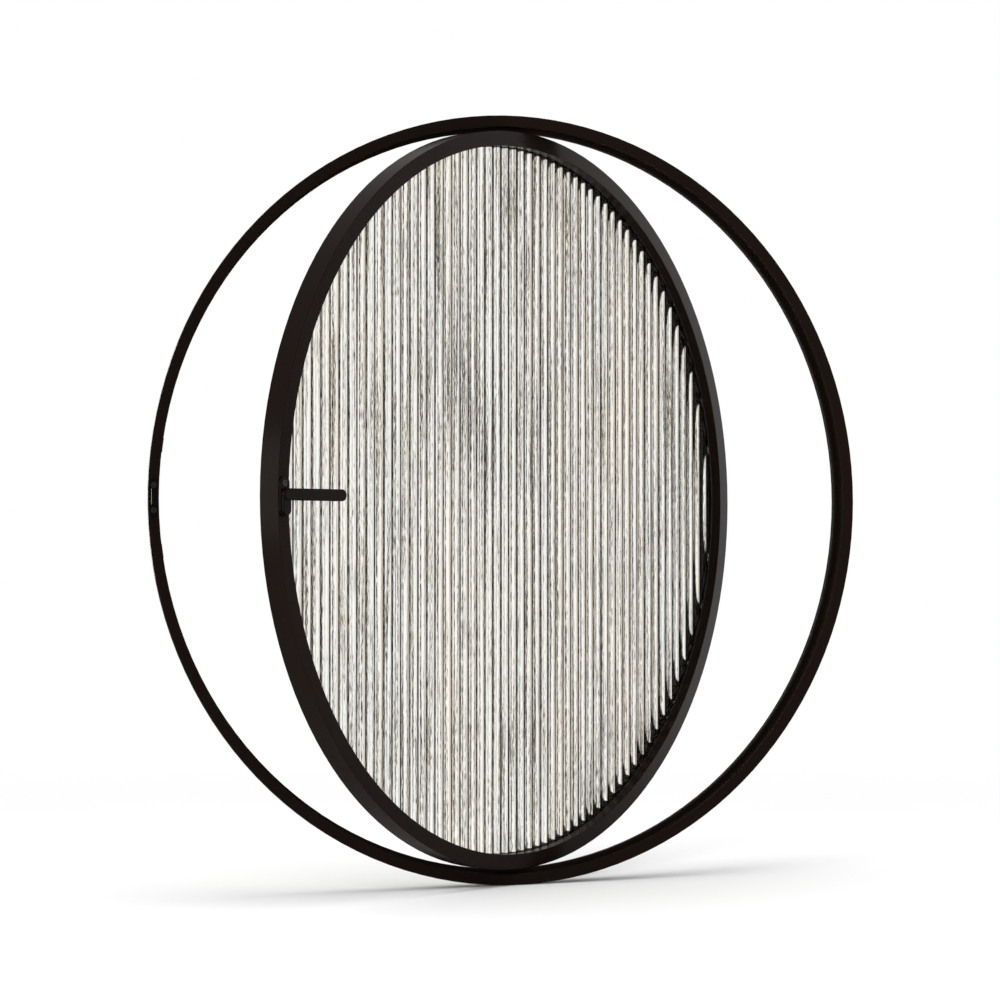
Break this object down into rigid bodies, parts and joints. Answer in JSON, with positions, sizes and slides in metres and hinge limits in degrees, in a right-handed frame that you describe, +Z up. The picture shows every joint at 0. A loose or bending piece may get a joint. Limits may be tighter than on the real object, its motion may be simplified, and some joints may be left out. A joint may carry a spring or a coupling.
{
  "type": "porthole window",
  "caption": "Round pivot window with a slim dark metal ring, a sash with vertical reeded glass that turns on upright pins, and a lever handle that locks in a keeper.",
  "frame": {"origin": "centre of the outer ring, at the ring's room side face", "axes": "+Z up, +Y from the room to the outside along the ring's axis, +X to the right seen from the room"},
  "size_m": [0.9999, 0.4939, 1],
  "materials": {
    "dark_coat": "satin dark bronze powder coat",
    "black_coat": "satin black coat",
    "reeded_glass": "reeded, clear",
    "seal_rubber": "matt black",
    "bush_plastic": "matt black",
    "bare_aluminium": "milled",
    "steel": "bright",
    "black_screw": "blackened"
  },
  "bodies": {
    "frame": {"frame_ring": "dark_coat", "frame_seal": "seal_rubber", "pivot_bushes": "bush_plastic", "thrust_washer": "bush_plastic", "keeper": "black_coat", "keeper_screws": "black_screw", "closing_stops": "black_coat", "stop_buffers": "seal_rubber", "stop_screws": "black_screw"},
    "sash": {"sash_ring": "dark_coat", "glass_pane": "reeded_glass", "front_gasket": "seal_rubber", "back_gasket": "seal_rubber", "glazing_bead": "dark_coat", "setting_blocks": "bush_plastic", "pivot_blocks": "bare_aluminium", "pivot_pins": "steel", "block_screws": "steel", "handle_backing": "bare_aluminium", "handle_plate": "black_coat", "handle_screws": "black_screw"},
    "handle": {"lever": "black_coat", "spindle": "steel", "spring_washer": "steel"}
  },
  "joints": [
    {"name": "sash_pivot", "type": "hinge", "parent": "frame", "child": "sash", "pos_m": [0, 0.02, 0], "axis": [0, 0, 1], "range_deg": [-28.8, 61.2]},
    {"name": "handle_turn", "type": "hinge", "parent": "sash", "child": "handle", "pos_m": [-0.40188, -0.22376, 0.0014], "axis": [-0.4818, 0.8763, 0], "range_deg": [0, 90]}
  ]
}
